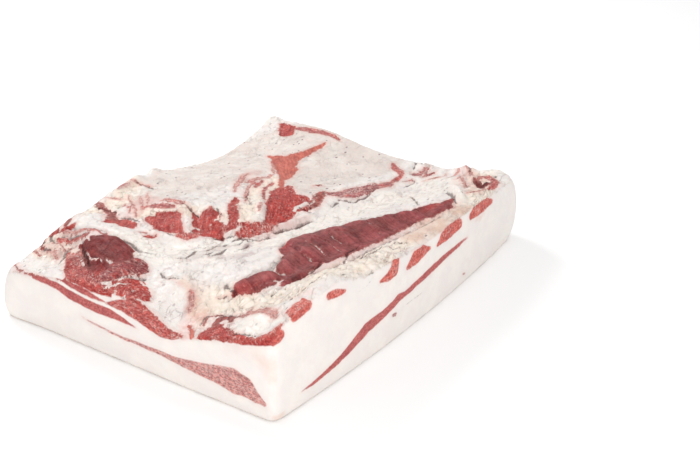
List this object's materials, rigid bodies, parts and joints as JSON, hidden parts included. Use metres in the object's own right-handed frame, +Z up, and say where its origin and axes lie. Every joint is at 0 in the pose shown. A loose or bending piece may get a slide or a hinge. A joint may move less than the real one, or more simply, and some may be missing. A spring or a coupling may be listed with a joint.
{
  "type": "pork belly slab",
  "caption": "Boned, squared slab of raw pork belly lying rind down: thick white fat with streaks of lean in its cut sides, and bared muscles and lining fat on its uneven top.",
  "frame": {"origin": "under the middle of the slab's bounding box, on the flat resting face of the rind", "axes": "+Z up, out of the trimmed inner side; +X along the long cut sides, from the end with the large round muscle; +Y along the short cut sides, from the long side with the row of lean pieces to the side with the lining"},
  "size_m": [0.3898, 0.3064, 0.0961],
  "materials": {
    "belly": "moist raw fat and lean, softly glossy"
  },
  "bodies": {
    "root": {"slab": "belly"}
  },
  "joints": []
}
